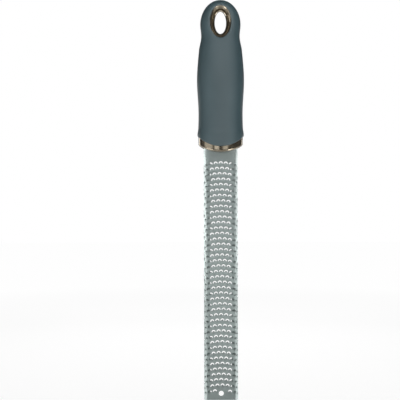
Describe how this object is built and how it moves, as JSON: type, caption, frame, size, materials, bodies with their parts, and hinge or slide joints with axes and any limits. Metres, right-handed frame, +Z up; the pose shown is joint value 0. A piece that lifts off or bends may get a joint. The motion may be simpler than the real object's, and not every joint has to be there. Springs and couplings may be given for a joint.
{
  "type": "rasp zester",
  "caption": "Hand zester: long folded steel rasp blade with bowed rows of raised arched teeth, hard collar, soft oval grip and an oval hanging eye.",
  "frame": {"origin": "middle of the hanging eye, halfway through the handle", "axes": "+Z up to the top of the handle with the blade hanging down, -Y the cutting side, +X to the right of someone who faces the cutting side"},
  "size_m": [0.0378, 0.027, 0.322],
  "materials": {
    "blade_steel": "etched satin stainless sheet",
    "hard_plastic": "glossy smoke-brown with a bronze pearl",
    "soft_grip": "soft-touch matt slate"
  },
  "bodies": {
    "root": {"rasp_blade": "blade_steel", "handle_core": "hard_plastic", "grip_overmould": "soft_grip"}
  },
  "joints": []
}
